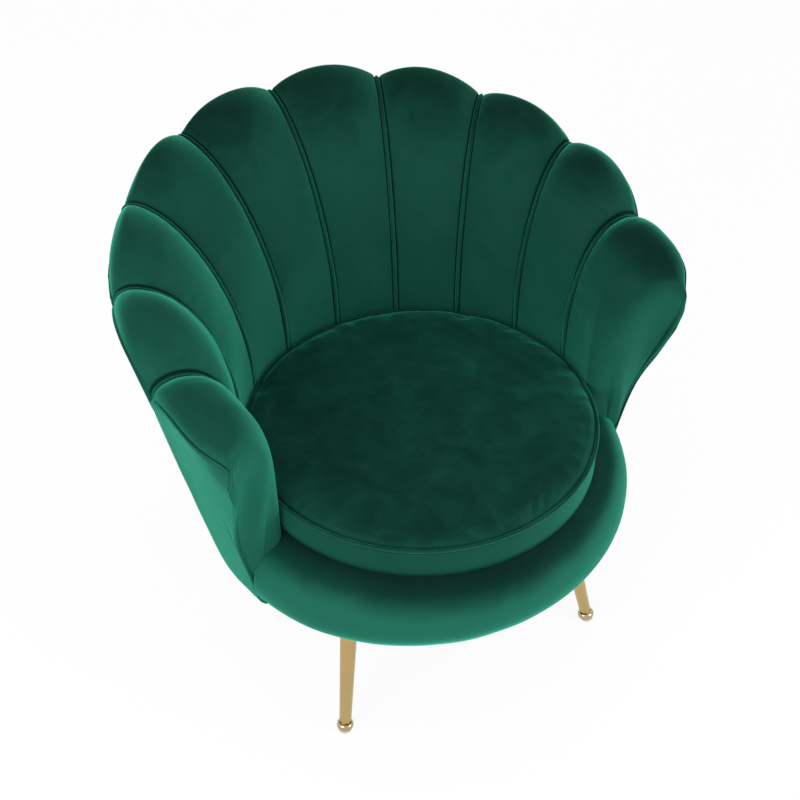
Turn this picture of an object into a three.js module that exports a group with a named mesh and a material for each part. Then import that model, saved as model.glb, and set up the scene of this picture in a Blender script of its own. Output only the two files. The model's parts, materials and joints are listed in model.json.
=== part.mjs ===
// Scallop back tub chair in channelled velvet, on four splayed metal legs.
// Millimetres, +Z up from the floor. The chair faces -Y, and +X is the sitter's left.
// Angles round the chair are in degrees from the middle of the back, growing towards the sitter's left.
import * as THREE from 'three';

// Driving sizes of the seat
const seatHeight = 423;
const cushionRadius = 262;
const cushionHeight = 58;
const cushionCrown = 15;
const cushionDrawIn = 3;
const cushionEdgeRound = 8;
const pipingRadius = 2.8;
const pipingInset = 1;
const cushionClearance = 1.2;
const fit = 0.3;

// Driving sizes of the round base
const baseHeight = 190;
const baseMeanRadius = 317.2;
const baseSetBack = 10.5;
const baseOval = 6.6;
const rollRadius = 64;
const rollCentreDrop = 126;
const drumRadius = 244;
const drumWall = 15;
const baseBoardThickness = 15;
const baseBoardReach = 8;
const plyThickness = 18;
const seatRingWidth = 54;
const deckPadThickness = 18;
const deckPadRound = 6;
const strapWidth = 50;
const strapThickness = 2;
const strapSpacingShare = 0.37;
const strapCount = 4;
const strapEndMargin = 5;
const liningThickness = 1.2;
const liningMargin = 3;

// Driving sizes of the shell, with heights above the seat edge and radii from the middle of the seat
const backCrestHeight = 313;
const armCrestHeight = 205;
const armTipHeight = 192;
const backCrestRadius = 460;
const armCrestRadius = 357;
const backEdgeReach = 18;
const armEdgeReach = 34;
const edgeDrop = 26;
const padDepth = 46;
const channelCrown = 34;
const channelReach = 50;
const crestRise = { back: 2, arm: 18 };
const edgeSwell = { back: 0.5, arm: 8 };
const coverThickness = 6;
const backCoverTurn = 16;
const armCoverTurn = 32;
const armCoverTuck = 14;
const railTopWidth = 9;
const sideBow = 6;
const armFrontBow = 3;
const noseDrop = 13;

// Driving sizes of the legs
const frontFootSpread = 225.5;
const rearFootSpread = 196;
const frontFootDepth = 155.5;
const rearFootDepth = 200;
const sideSplay = 0.1644;
const depthSplay = 0.1778;
const legTopRadius = 14;
const legBottomRadius = 9.2;
const ballRadius = 12.8;
const ballHeight = 15;
const glideRadius = 9.5;
const glideHeight = 2.5;
const plateSide = 52;
const plateThickness = 3;
const plateCorner = 5;
const studRadius = 4;

// Where the channels and the arm fronts stand, in degrees
const seamAngles = [0, 21.2, 42.2, 63.6, 85.5];
const armTipAngle = 108;
const crestSweepAngle = 90;
const postAngle = 98.5;
const rollStartAngle = 101.5;
const tipLowAngles = { inner: 103.3, outer: 101.4 };
const tipHighAngles = { inner: 108, outer: 110.2 };
const tipBulgeAngle = 1.4;

// Exponents and shares of the curves
const sweepExponent = { back: 1.8, arm: 2.25 };
const rollExponent = 2.15;
const crestFallExponent = 2.2;
const flareExponent = 1.3;
const scallopExponent = 0.75;
const swellFadeExponent = 6;
const bowExponent = 1.3;
const riseExponent = 4;
const crownExponent = 2.6;
const spacingExponent = 0.8;
const armScallopShare = 0.9;
const noseShare = 0.36;
const noseEdgeShare = 0.5;
const edgeGapShares = { back: 1, arm: 3 };
const tipRiseShare = 0.8;
const tipScallopShare = 0.85;
const wrapFadeShare = 1 / 3;
const grooveDepthShare = 2 / 3;
const ballFlatShare = 0.6;
const ballExponent = 0.5;

// How finely the swept forms are cut
const channelSteps = 8;
const armSteps = 6;
const tipSteps = 4;
const faceSteps = 9;
const crestSteps = 4;
const backSteps = 7;
const railSteps = 3;
const footSteps = 4;
const coverSteps = 5;
const turnSteps = 2;
const rollSteps = 9;
const rollSweepSteps = 26;
const cushionSides = 48;
const legSides = 16;
const cushionSideSteps = 5;
const crownSteps = 7;
const pipingSides = 8;
const grooveSteps = 4;
const ballSteps = 5;
const cornerSteps = 4;

const finish = (name, color, roughness, metalness = 0) =>
  new THREE.MeshStandardMaterial({ name, color, roughness, metalness });
const velvet = finish('green_velvet', 0x14493a, 0.85);
const seatVelvet = finish('seat_velvet', 0x0f3c30, 0.9);
const plywood = finish('birch_plywood', 0xc9a877, 0.7);
const foam = finish('deck_foam', 0xe4dcc0, 0.95);
const webbing = finish('elastic_webbing', 0x4a4640, 0.9);
const lining = finish('black_lining', 0x1c1c1c, 0.95);
const brushedGold = finish('brushed_gold', 0xc39a4e, 0.32, 1);
const polishedGold = finish('polished_gold', 0xd8b878, 0.15, 1);
const steel = finish('zinc_steel', 0xa8a9a6, 0.4, 1);
const nylon = finish('nylon', 0xd9d6cc, 0.5);

const chair = new THREE.Group();
const { clamp, degToRad, radToDeg, lerp, smoothstep } = THREE.MathUtils;
const sine = (angle) => Math.sin(degToRad(angle));
const cosine = (angle) => Math.cos(degToRad(angle));
const quarterTurn = Math.PI / 2;

// Heights above the floor and radii that follow from the driving sizes
const deckHeight = seatHeight - cushionHeight;
const baseBottom = seatHeight - baseHeight;
const baseBoardBottom = baseBottom + coverThickness + fit;
const baseBoardTop = baseBoardBottom + baseBoardThickness;
const rollCentreHeight = seatHeight - rollCentreDrop;
const strapLift = (strapThickness + fit) / 2;
const seatRingTop = deckHeight - deckPadThickness - 2 * fit - 2 * strapLift - strapThickness;
const seatRingBottom = seatRingTop - plyThickness;
const pipingCircle = cushionRadius - pipingInset;
const wellRadius = pipingCircle + pipingRadius + cushionClearance;
const padBackRadius = wellRadius + padDepth;
const lastSeam = seamAngles[seamAngles.length - 1];
const halfPlyAngle = (radius) => radToDeg(Math.asin((plyThickness / 2 + fit) / radius));
const wrapStartAngle = postAngle + halfPlyAngle(wellRadius);
const wrapFullAngle = lerp(wrapStartAngle, rollStartAngle, wrapFadeShare);

function addMesh(name, geometry, material, parent = chair) {
  const mesh = new THREE.Mesh(geometry, material);
  mesh.name = name;
  parent.add(mesh);
  return mesh;
}

// Triangles across an outline that is a bent band, from its two ends inwards.
function acrossBand(count) {
  const faces = [];
  for (let j = 0; j + 1 < count - 1 - j; j += 1) {
    faces.push([j, j + 1, count - 1 - j]);
    if (j + 1 < count - 2 - j) faces.push([j + 1, count - 2 - j, count - 1 - j]);
  }
  return faces;
}

// A closed outline of { r, z, angle } points swept through its sections, capped at both ends.
function sweepAround(sections, bandCaps = [false, false]) {
  const flat = (section) => section.map((p) => new THREE.Vector2(p.r, p.z));
  if (THREE.ShapeUtils.isClockWise(flat(sections[0]))) {
    return sweepAround(sections.map((section) => [...section].reverse()), bandCaps);
  }
  const count = sections[0].length;
  const positions = sections.flat().flatMap((p) => [p.r * sine(p.angle), p.r * cosine(p.angle), p.z]);
  const index = [];
  for (let k = 0; k + 1 < sections.length; k += 1) {
    for (let j = 0; j < count; j += 1) {
      const a = k * count + j;
      const b = k * count + ((j + 1) % count);
      index.push(a, b, b + count, a, b + count, a + count);
    }
  }
  const last = (sections.length - 1) * count;
  const cap = (section, asBand) =>
    (asBand ? acrossBand(count) : THREE.ShapeUtils.triangulateShape(flat(section), []));
  for (const [a, b, c] of cap(sections[0], bandCaps[0])) index.push(c, b, a);
  for (const [a, b, c] of cap(sections[sections.length - 1], bandCaps[1])) {
    index.push(last + a, last + b, last + c);
  }
  const geometry = new THREE.BufferGeometry();
  geometry.setAttribute('position', new THREE.Float32BufferAttribute(positions, 3));
  geometry.setIndex(index);
  geometry.computeVertexNormals();
  return geometry;
}

// The same sections on the sitter's right, again in growing angle.
const mirrored = (sections) =>
  sections.map((section) => section.map((p) => ({ ...p, angle: -p.angle }))).reverse();

// A profile of [radius, height] pairs turned about the upright axis.
function turned(profile, sides) {
  const points = profile.map(([radius, height]) => new THREE.Vector2(radius, height));
  return new THREE.LatheGeometry(points, sides).rotateX(quarterTurn);
}

// A flat outline extruded upwards from a height.
function slab(shape, bottom, thickness) {
  const geometry = new THREE.ExtrudeGeometry(shape, {
    depth: thickness, bevelEnabled: false, curveSegments: cushionSides / 2,
  });
  return geometry.translate(0, 0, bottom);
}

// An outline in radius and height, cut from a sheet and stood in the plane of one angle.
function standUpright(name, outline, thickness, angle, material) {
  const shape = new THREE.Shape(outline.map(([r, z]) => new THREE.Vector2(r, z)));
  const geometry = new THREE.ExtrudeGeometry(shape, { depth: thickness, bevelEnabled: false });
  geometry.translate(0, 0, -thickness / 2).rotateX(quarterTurn);
  addMesh(name, geometry, material).rotation.z = quarterTurn - degToRad(angle);
}

function circle(radius, x = 0, y = 0) {
  return new THREE.Path().absarc(x, y, radius, 0, 2 * Math.PI, false);
}

// Plan and height of the shell at an angle

const backShare = (angle) => Math.max(cosine(angle), 0) ** flareExponent;
const baseRadius = (angle) => baseMeanRadius + baseSetBack * cosine(angle) - baseOval * cosine(2 * angle);
const rollCentreRadius = (angle) => baseRadius(angle) - rollRadius;
const crestRadius = (angle) => lerp(armCrestRadius, backCrestRadius, backShare(angle));
const plainEdgeRadius = (angle) => crestRadius(angle) + lerp(armEdgeReach, backEdgeReach, backShare(angle));

// How far the arm front has rounded off, from 0 at the front post to 1 at its tip.
function noseAt(angle) {
  const past = clamp((Math.abs(angle) - wrapFullAngle) / (armTipAngle - wrapFullAngle), 0, 1);
  return 1 - Math.sqrt(1 - past ** 2);
}

function crestHeight(angle) {
  const a = Math.abs(angle);
  const fall = (Math.min(a, lastSeam) / crestSweepAngle) ** crestFallExponent;
  const alongArm = clamp((a - lastSeam) / (armTipAngle - lastSeam), 0, 1);
  const aboveSeat = lerp(lerp(backCrestHeight, armCrestHeight, fall), armTipHeight, alongArm);
  return seatHeight + aboveSeat - noseDrop * noseAt(angle);
}

// Height of the scallop at an angle, from 0 on a seam to 1 in the middle of a channel.
function scallop(angle) {
  const a = Math.abs(angle);
  const next = seamAngles.find((seam) => a < seam);
  if (next === undefined) {
    const across = (tipScallopShare * (a - lastSeam)) / (armTipAngle - lastSeam);
    return armScallopShare * Math.max(1 - (2 * across - 1) ** 2, 0) ** scallopExponent;
  }
  const start = seamAngles[seamAngles.indexOf(next) - 1];
  return Math.max(1 - ((2 * (a - start)) / (next - start) - 1) ** 2, 0) ** scallopExponent;
}

// From 0 on the back channels to 1 on the arm channels.
const armwards = (angle) => smoothstep(Math.abs(angle), seamAngles[2], seamAngles[4]);

// How far a channel stands proud of its seams at a reach from the well, and rises above them at its crest.
const crown = (angle, out) => (scallop(angle) * channelCrown * out) / (channelReach + out);
const peak = (angle) => scallop(angle) * lerp(crestRise.back, crestRise.arm, armwards(angle));
const crestTop = (angle) => crestHeight(angle) + crown(angle, crestRadius(angle) - wellRadius) + peak(angle);

// The cover's edge is level with the seams at the back, and follows the crest of the arm channels.
const edgeHeight = (angle) => lerp(crestHeight(angle), crestTop(angle), armwards(angle))
  - edgeDrop * (1 - noseEdgeShare * noseAt(angle));
const swell = (angle) => scallop(angle) * lerp(edgeSwell.back, edgeSwell.arm, armwards(angle));

// Outside of the shell, from the foot of the base up to the edge where the channels roll over.
const heightShare = (angle, z) => clamp((z - baseBottom) / (edgeHeight(angle) - baseBottom), 0, 1);
const besideArm = (angle) => smoothstep(Math.abs(angle), seamAngles[3], postAngle);
function smoothSkin(angle, z) {
  const share = heightShare(angle, z);
  const footRadius = baseRadius(angle) - armCoverTuck * besideArm(angle);
  return lerp(footRadius, plainEdgeRadius(angle), share)
    + lerp(sideBow, armFrontBow, besideArm(angle)) * Math.sin(Math.PI * share ** bowExponent);
}
function skinRadius(angle, z) {
  return smoothSkin(angle, z) + swell(angle) * heightShare(angle, z) ** swellFadeExponent;
}

// Clearance of the cover's edge under the channels, wider where that edge climbs steeply.
const edgeGap = (angle) => fit * lerp(edgeGapShares.back, edgeGapShares.arm, armwards(angle));

// The cover turns under the base on a quarter round, tighter at the back than at the arms.
const coverTurn = (angle) => lerp(backCoverTurn, armCoverTurn, besideArm(angle));
function turnPoint(angle, t, depth) {
  const turn = coverTurn(angle);
  const centre = { r: smoothSkin(angle, baseBottom + turn) - turn, z: baseBottom + turn };
  return { r: centre.r + (turn - depth) * Math.cos(t), z: centre.z - (turn - depth) * Math.sin(t) };
}
const turnSweep = Array.from({ length: turnSteps }, (_, k) => (quarterTurn * (k + 1)) / turnSteps);
const coverLevels = (angle) => Array.from({ length: coverSteps + 1 }, (_, k) =>
  lerp(edgeHeight(angle) - edgeGap(angle), baseBottom + coverTurn(angle), k / coverSteps));

// Radius just clear of the cover's inside at a height, along its straight stretches, for a skin.
function insideCover(skin, angle, z) {
  const points = [
    ...coverLevels(angle).map((level) => ({ r: skin(angle, level) - coverThickness, z: level })),
    ...turnSweep.map((t) => turnPoint(angle, t, coverThickness)),
  ];
  const next = clamp(points.findIndex((p) => p.z <= z), 1, points.length - 1);
  const [above, below] = [points[next - 1], points[next]];
  return lerp(below.r, above.r, (z - below.z) / (above.z - below.z)) - 2 * fit;
}
const frameOutside = (angle, z) => insideCover(smoothSkin, angle, z);
const insideSkin = (angle, z) => insideCover(skinRadius, angle, z);

// A rounded sweep that leaves its foot upright and flattens out at its top, fuller at the arms.
const sweepPower = (angle) => 2 / lerp(sweepExponent.back, sweepExponent.arm, armwards(angle));
function sweepPoint(angle, t, footRadius, topRadius, topHeight) {
  const lean = 1 - Math.cos(t) ** sweepPower(angle);
  const rise = Math.sin(t) ** sweepPower(angle);
  return { r: lerp(footRadius, topRadius, lean), z: lerp(seatHeight, topHeight, rise) };
}

// Back of the pads at one step up from the seat edge, which the ribs and the top rail follow.
const lipHeight = (angle) => crestHeight(angle) - padDepth;
const padBackTop = (angle) => frameOutside(angle, lipHeight(angle)) - railTopWidth;
function padBack(angle, k) {
  const t = quarterTurn * (k / backSteps) ** spacingExponent;
  return sweepPoint(angle, t, padBackRadius, padBackTop(angle), lipHeight(angle));
}

// Outside and top of the padded roll round the seat front, a little squarer than a circle
const signedPower = (value, power) => Math.sign(value) * Math.abs(value) ** power;
function rollPoint(angle, t) {
  return {
    r: rollCentreRadius(angle) + rollRadius * signedPower(Math.cos(t), 2 / rollExponent),
    z: rollCentreHeight + rollRadius * signedPower(Math.sin(t), 2 / rollExponent),
  };
}
function rollTop(angle, r) {
  const across = clamp(r - rollCentreRadius(angle), 0, rollRadius) / rollRadius;
  return rollCentreHeight + rollRadius * (1 - across ** rollExponent) ** (1 / rollExponent);
}

// The arm front leans forwards as it rises, and bulges between its inner and outer edges.
function tipAngleAt(across, z) {
  const outerRise = smoothstep(z, deckHeight, seatHeight + armTipHeight * tipRiseShare);
  const innerRise = clamp((z - seatHeight) / armTipHeight, 0, 1);
  const inner = lerp(tipLowAngles.inner, tipHighAngles.inner, innerRise);
  const outer = lerp(tipLowAngles.outer, tipHighAngles.outer, outerRise);
  return lerp(inner, outer, across) + tipBulgeAngle * innerRise * Math.sin(Math.PI * across);
}
function leaned(angle, across, z) {
  if (angle <= wrapFullAngle) return angle;
  const share = (angle - wrapFullAngle) / (armTipAngle - wrapFullAngle);
  return lerp(wrapFullAngle, tipAngleAt(clamp(across, 0, 1), z), share);
}

// Channel pads

// Face of a channel from its foot up to the crest and over it to the shell's edge.
function padFace(angle, footHeight) {
  const topRadius = crestRadius(angle);
  const topHeight = crestHeight(angle);
  const power = sweepPower(angle);
  const edge = { r: skinRadius(angle, edgeHeight(angle)), z: edgeHeight(angle) };
  const points = [{ r: wellRadius, z: footHeight }, { r: wellRadius, z: seatHeight }];
  for (let k = 1; k <= faceSteps; k += 1) {
    const t = quarterTurn * (k / faceSteps) ** spacingExponent;
    const p = sweepPoint(angle, t, wellRadius, topRadius, topHeight);
    const out = (topRadius - wellRadius) * Math.cos(t) ** (power - 1) * Math.sin(t);
    const up = (topHeight - seatHeight) * Math.sin(t) ** (power - 1) * Math.cos(t);
    const length = Math.hypot(out, up);
    const proud = crown(angle, p.r - wellRadius);
    const rise = peak(angle) * ((p.z - seatHeight) / (topHeight - seatHeight)) ** riseExponent;
    points.push({ r: p.r - (proud * up) / length, z: p.z + (proud * out) / length + rise });
  }
  const top = crestTop(angle);
  for (let k = 1; k <= crestSteps; k += 1) {
    const t = (quarterTurn * k) / crestSteps;
    points.push({ r: lerp(topRadius, edge.r, Math.sin(t)), z: lerp(edge.z, top, Math.cos(t)) });
  }
  const nose = noseShare * noseAt(angle);
  return points.map((p) => ({ r: Math.max(p.r, lerp(p.r, skinRadius(angle, p.z), nose)), z: p.z }));
}

// Behind the lip the pad is hollow where the frame stands.
function padHollow(angle) {
  const lip = lipHeight(angle);
  const points = [
    { r: insideSkin(angle, edgeHeight(angle)), z: edgeHeight(angle) },
    { r: insideSkin(angle, lip), z: lip },
  ];
  for (let k = backSteps; k >= 0; k -= 1) points.push(padBack(angle, k));
  for (let k = 0; k < footSteps; k += 1) {
    points.push({ r: lerp(padBackRadius, wellRadius, k / footSteps), z: deckHeight });
  }
  return points;
}

// Past the front post the pad fills the arm out to its cover, and its foot lies on the seat roll.
function padWrap(angle, innerRadius) {
  const footRadius = insideSkin(angle, rollCentreHeight);
  const foot = rollTop(wrapStartAngle, footRadius) + fit;
  const points = [{ r: insideSkin(angle, edgeHeight(angle)), z: edgeHeight(angle) }];
  for (let k = 0; k <= backSteps + 1; k += 1) {
    const z = lerp(lipHeight(angle), foot, k / (backSteps + 1));
    points.push({ r: insideSkin(angle, z), z });
  }
  for (let k = 0; k < footSteps; k += 1) {
    const r = lerp(footRadius, innerRadius, (k + 1) / (footSteps + 1));
    points.push({ r, z: rollTop(wrapStartAngle, r) + fit });
  }
  return points;
}

function padSection(angle) {
  const wraps = angle >= wrapFullAngle;
  const face = padFace(angle, wraps ? rollTop(wrapStartAngle, wellRadius) + fit : deckHeight);
  const rest = wraps ? padWrap(angle, face[0].r) : padHollow(angle);
  return [...face, ...rest].map((p) => {
    const across = (p.r - wellRadius) / (skinRadius(angle, p.z) - wellRadius);
    return { ...p, angle: leaned(angle, across, p.z) };
  });
}

// Angles at which each channel is cut, closer together beside its seams.
function channelAngles(i) {
  if (i + 1 < seamAngles.length) {
    return Array.from({ length: channelSteps + 1 }, (_, k) =>
      lerp(seamAngles[i], seamAngles[i + 1], (1 - Math.cos((Math.PI * k) / channelSteps)) / 2));
  }
  const arm = Array.from({ length: armSteps + 1 }, (_, k) =>
    lerp(lastSeam, wrapStartAngle, 1 - Math.cos((quarterTurn * k) / armSteps)));
  const tip = Array.from({ length: tipSteps + 1 }, (_, k) =>
    lerp(wrapFullAngle, armTipAngle, Math.sin((quarterTurn * k) / tipSteps)));
  return [...arm, ...tip];
}

// Neighbouring pads stand a hair apart at their shared seam.
function padSections(i) {
  const gapAngle = radToDeg(fit / 2 / wellRadius);
  const angles = channelAngles(i);
  return angles.map((angle, k) => {
    const shift = k === 0 ? gapAngle : -gapAngle;
    const onSeam = k === 0 || seamAngles.includes(angle);
    return padSection(angle).map((p) => ({ ...p, angle: p.angle + (onSeam ? shift : 0) }));
  });
}

for (let i = 0; i < seamAngles.length; i += 1) {
  const sections = padSections(i);
  const isArmFront = i + 1 === seamAngles.length;
  addMesh(`channel_pad_left_${i + 1}`, sweepAround(sections, [false, isArmFront]), velvet);
  addMesh(`channel_pad_right_${i + 1}`, sweepAround(mirrored(sections), [isArmFront, false]), velvet);
}

// Outer back cover, which runs from one arm front round the back to the other

function coverSection(angle) {
  const heights = coverLevels(angle);
  const outer = [
    ...heights.map((z) => ({ r: skinRadius(angle, z), z })),
    ...turnSweep.map((t) => turnPoint(angle, t, 0)),
    { r: rollCentreRadius(angle), z: baseBottom },
  ];
  const inner = [
    ...heights.map((z) => ({ r: skinRadius(angle, z) - coverThickness, z })),
    ...turnSweep.map((t) => turnPoint(angle, t, coverThickness)),
    { r: rollCentreRadius(angle), z: baseBottom + coverThickness },
  ];
  return [...outer, ...inner.reverse()].map((p) => ({ ...p, angle: leaned(angle, 1, p.z) }));
}

const leftAngles = seamAngles.flatMap((_, i) => channelAngles(i).slice(i === 0 ? 0 : 1));
function bothSides(sectionAt, angles, asBand) {
  const left = angles.map(sectionAt);
  return sweepAround([...mirrored(left.slice(1)), ...left], [asBand, asBand]);
}
addMesh('outer_back_cover', bothSides(coverSection, leftAngles, true), velvet);

// Plywood frame of the shell

function railSection(angle) {
  const inner = Array.from({ length: railSteps + 1 }, (_, k) => padBack(angle, backSteps - k));
  const top = inner[0].z - fit;
  const bottom = inner[railSteps].z - fit;
  const outer = [bottom, lerp(bottom, top, 1 / 2), top].map((z) => ({ r: frameOutside(angle, z), z }));
  return [...outer, ...inner.map(({ r, z }) => ({ r: r + fit, z: z - fit }))]
    .map((p) => ({ ...p, angle }));
}
const railEndAngle = postAngle - halfPlyAngle(padBackRadius);
const railAngles = [...leftAngles.filter((angle) => angle < railEndAngle), railEndAngle];
addMesh('top_rail', bothSides(railSection, railAngles, false), plywood);

// A rib with a foot that stands on the base board and a ledge under the pads. It follows the back of
// the pads for a number of steps, clear of them across its whole thickness.
function ribOutline(angle, steps, drop) {
  const spread = [angle - halfPlyAngle(padBackRadius), angle, angle + halfPlyAngle(padBackRadius)];
  const inner = Array.from({ length: steps + 1 }, (_, k) => {
    const points = spread.map((a) => padBack(a, k));
    return [Math.max(...points.map((p) => p.r)) + fit, Math.min(...points.map((p) => p.z)) - drop];
  });
  inner[0][1] = deckHeight - fit;
  const ledge = inner[0][1];
  const foot = baseBoardTop + fit;
  const top = inner[steps][1];
  const bends = [...turnSweep.map((t) => turnPoint(angle, t, coverThickness).z), ...coverLevels(angle)];
  const levels = bends.filter((z) => z > foot && z < top).sort((a, b) => a - b);
  const outer = [foot, ...levels, top].map((z) => [Math.min(...spread.map((a) => frameOutside(a, z))), z]);
  return [[drumRadius + fit, foot], ...outer, ...inner.reverse(), [drumRadius + fit, ledge]];
}
standUpright('back_rib_centre', ribOutline(0, backSteps - railSteps, 2 * fit), plyThickness, 0, plywood);
seamAngles.slice(1).forEach((angle, i) => {
  const outline = ribOutline(angle, backSteps - railSteps, 2 * fit);
  standUpright(`back_rib_left_${i + 1}`, outline, plyThickness, angle, plywood);
  standUpright(`back_rib_right_${i + 1}`, outline, plyThickness, -angle, plywood);
});
const postOutline = ribOutline(postAngle, backSteps, fit);
standUpright('arm_post_left', postOutline, plyThickness, postAngle, plywood);
standUpright('arm_post_right', postOutline, plyThickness, -postAngle, plywood);

// Padded roll round the front of the base, wrapped under the base board

const baseBoardRadius = (angle) => rollCentreRadius(angle) + baseBoardReach;

function rollSection(angle) {
  const centre = rollCentreRadius(angle);
  const inner = drumRadius + 2 * fit;
  const start = Math.acos(signedPower((inner - centre) / rollRadius, rollExponent / 2));
  const arc = Array.from({ length: rollSteps + 1 }, (_, k) =>
    rollPoint(angle, lerp(start, -quarterTurn, k / rollSteps)));
  return [
    { r: inner, z: baseBoardTop + fit },
    ...arc,
    { r: centre, z: baseBoardBottom - fit },
    { r: baseBoardRadius(angle) + fit, z: baseBoardBottom - fit },
    { r: baseBoardRadius(angle) + fit, z: baseBoardTop + fit },
  ].map((p) => ({ ...p, angle }));
}
const rollAngles = Array.from({ length: rollSweepSteps + 1 }, (_, k) =>
  lerp(rollStartAngle, 360 - rollStartAngle, k / rollSweepSteps));
addMesh('front_seat_roll', sweepAround(rollAngles.map(rollSection)), velvet);

// Base: board, drum and seat ring

const legPlaces = [
  { name: 'front_left', side: 1, end: -1, spread: frontFootSpread, depth: frontFootDepth },
  { name: 'front_right', side: -1, end: -1, spread: frontFootSpread, depth: frontFootDepth },
  { name: 'rear_left', side: 1, end: 1, spread: rearFootSpread, depth: rearFootDepth },
  { name: 'rear_right', side: -1, end: 1, spread: rearFootSpread, depth: rearFootDepth },
];
const plateBottom = baseBoardBottom - 2 * fit - liningThickness - plateThickness;
const legTop = plateBottom - fit;
const studPlaces = legPlaces.map(({ side, end, spread, depth }) => ({
  x: side * (spread - sideSplay * legTop),
  y: end * (depth - depthSplay * legTop),
}));

function roundPlate(radiusAt) {
  const angles = [...rollAngles.slice(0, -1)];
  const backTurn = 2 * rollStartAngle;
  for (let k = 0; k < rollSweepSteps; k += 1) {
    angles.push(360 - rollStartAngle + (backTurn * k) / rollSweepSteps);
  }
  const points = angles.map((angle) =>
    new THREE.Vector2(radiusAt(angle) * sine(angle), radiusAt(angle) * cosine(angle)));
  const shape = new THREE.Shape(points);
  shape.holes = studPlaces.map(({ x, y }) => circle(studRadius + fit, x, y));
  return shape;
}
addMesh('base_board', slab(roundPlate(baseBoardRadius), baseBoardBottom, baseBoardThickness), plywood);
const liningRadius = (angle) => rollCentreRadius(angle) - liningMargin;
addMesh('bottom_lining',
  slab(roundPlate(liningRadius), baseBoardBottom - fit - liningThickness, liningThickness), lining);

function ring(outer, width, bottom, thickness) {
  const shape = new THREE.Shape().absarc(0, 0, outer, 0, 2 * Math.PI, false);
  shape.holes = [circle(outer - width)];
  return slab(shape, bottom, thickness);
}
const drumBottom = baseBoardTop + fit;
addMesh('base_drum', ring(drumRadius, drumWall, drumBottom, seatRingBottom - fit - drumBottom), plywood);
addMesh('seat_ring', ring(drumRadius, seatRingWidth, seatRingBottom, plyThickness), plywood);

// Interlaced webbing across the seat ring

const strapLanes = Array.from({ length: strapCount }, (_, i) =>
  (i - (strapCount - 1) / 2) * drumRadius * strapSpacingShare);
const strapMiddle = seatRingTop + fit + strapThickness / 2 + strapLift;

// Side view of one strap, over and under the straps that it crosses.
function strapOutline(lane, overFirst) {
  const farSide = Math.abs(lane) + strapWidth / 2;
  const half = Math.sqrt((drumRadius - strapEndMargin) ** 2 - farSide ** 2);
  const course = [[-half, -strapLift]];
  strapLanes.forEach((crossing, k) => {
    const lift = (k % 2 === 0) === overFirst ? strapLift : -strapLift;
    course.push([crossing - strapWidth / 2, lift], [crossing + strapWidth / 2, lift]);
  });
  course.push([half, -strapLift]);
  const upper = course.map(([x, z]) => [x, strapMiddle + z + strapThickness / 2]);
  const lower = course.map(([x, z]) => [x, strapMiddle + z - strapThickness / 2]).reverse();
  return [...upper, ...lower];
}
strapLanes.forEach((lane, i) => {
  for (const [direction, turn, over] of [['across', 0, i % 2 === 0], ['lengthways', 1, i % 2 === 1]]) {
    const outline = strapOutline(lane, over).map(([x, z]) => new THREE.Vector2(x, z));
    const geometry = new THREE.ExtrudeGeometry(new THREE.Shape(outline), {
      depth: strapWidth, bevelEnabled: false,
    });
    geometry.translate(0, 0, -strapWidth / 2).rotateX(quarterTurn);
    const strap = addMesh(`webbing_${direction}_${i + 1}`, geometry, webbing);
    strap.rotation.z = turn * quarterTurn;
    strap.position.set(turn ? lane : 0, turn ? 0 : lane, 0);
  }
});

// Deck pad and loose seat cushion

const deckPadRadius = drumRadius - fit;
const deckPadBottom = deckHeight - deckPadThickness;
addMesh('deck_pad', turned([
  [0, deckPadBottom],
  [deckPadRadius, deckPadBottom],
  [deckPadRadius, deckHeight - deckPadRound],
  [deckPadRadius - deckPadRound * (1 - Math.SQRT1_2), deckHeight - deckPadRound * (1 - Math.SQRT1_2)],
  [deckPadRadius - deckPadRound, deckHeight],
  [0, deckHeight],
], cushionSides), foam);

const pipingHeight = seatHeight - pipingRadius;
const grooveRadius = pipingRadius + fit;

function cushionProfile() {
  const bottom = deckHeight + fit;
  const edge = cushionRadius - cushionDrawIn;
  const points = [[0, bottom], [edge - cushionEdgeRound, bottom]];
  const sideFoot = bottom + cushionEdgeRound / 2;
  const sideTop = pipingHeight - grooveRadius;
  for (let k = 0; k <= cushionSideSteps; k += 1) {
    const share = k / cushionSideSteps;
    points.push([edge + cushionDrawIn * Math.sin(Math.PI * share), lerp(sideFoot, sideTop, share)]);
  }
  for (let k = 0; k <= grooveSteps; k += 1) {
    const t = -Math.PI * lerp(grooveDepthShare, 2 - grooveDepthShare, k / grooveSteps);
    points.push([pipingCircle + grooveRadius * Math.cos(t), pipingHeight + grooveRadius * Math.sin(t)]);
  }
  const rim = pipingCircle - grooveRadius;
  for (let k = 1; k <= crownSteps; k += 1) {
    const share = 1 - k / crownSteps;
    points.push([rim * share, seatHeight + cushionCrown * (1 - share ** crownExponent)]);
  }
  return points;
}
addMesh('seat_cushion', turned(cushionProfile(), cushionSides), seatVelvet);
addMesh('seat_cushion_piping', turned(Array.from({ length: pipingSides + 1 }, (_, k) => {
  const t = (-2 * Math.PI * (k % pipingSides)) / pipingSides;
  return [pipingCircle - pipingRadius * Math.cos(t), pipingHeight + pipingRadius * Math.sin(t)];
}), cushionSides), seatVelvet);

// Legs

function legProfile(bottom, top) {
  return [[0, bottom], [legBottomRadius, bottom], [legTopRadius, top], [0, top]];
}
function ballProfile(bottom) {
  const points = [[0, bottom]];
  for (let k = 0; k <= ballSteps; k += 1) {
    const t = quarterTurn * lerp(-ballFlatShare, ballFlatShare, k / ballSteps);
    points.push([ballRadius * Math.cos(t) ** ballExponent, bottom + (ballHeight * k) / ballSteps]);
  }
  points.push([0, bottom + ballHeight]);
  return points;
}

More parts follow.
